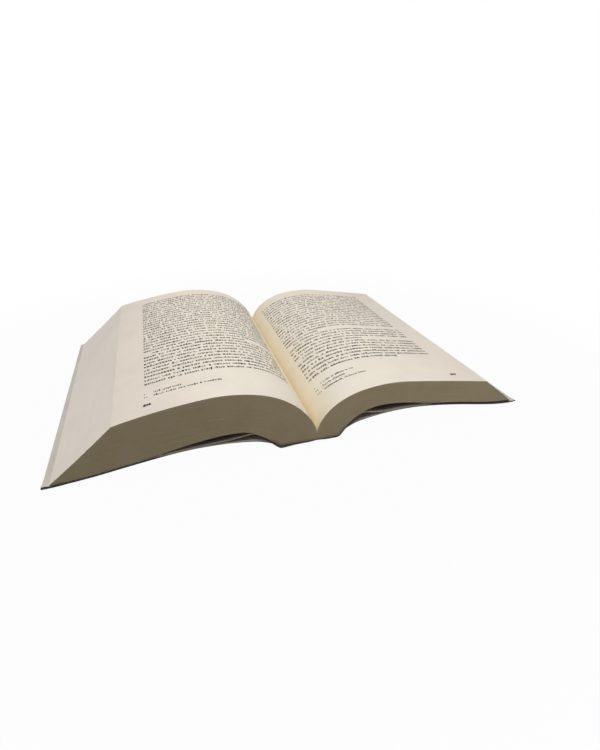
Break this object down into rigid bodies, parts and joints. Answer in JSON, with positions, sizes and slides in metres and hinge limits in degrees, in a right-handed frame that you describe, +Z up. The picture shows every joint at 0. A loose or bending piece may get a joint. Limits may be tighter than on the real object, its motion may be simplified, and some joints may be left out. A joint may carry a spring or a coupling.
{
  "type": "paperback book",
  "caption": "Thick paperback book lying open on its spine, with two arched halves of pages over bent card covers that hinge at the spine.",
  "frame": {"origin": "middle of the outer face of the spine, which lies on the table", "axes": "+X towards the back cover on the reader's right, +Y towards the head of the book, +Z up out of the open pages"},
  "size_m": [0.3023, 0.2, 0.0409],
  "materials": {
    "pages": "uncoated cream book paper",
    "glue": "set hot-melt adhesive",
    "cover": "one-side coated card, uncoated inside"
  },
  "bodies": {
    "block": {"text_block": "pages", "binding_glue": "glue", "cover_spine": "cover"},
    "front": {"front_cover": "cover"},
    "back": {"back_cover": "cover"}
  },
  "joints": [
    {"name": "front_cover_hinge", "type": "hinge", "parent": "block", "child": "front", "pos_m": [-0.02456, 0, 0.0045], "axis": [0, -1, 0], "range_deg": [0, 90]},
    {"name": "back_cover_hinge", "type": "hinge", "parent": "block", "child": "back", "pos_m": [0.02341, 0, 0.00559], "axis": [0, 1, 0], "range_deg": [0, 90]}
  ]
}
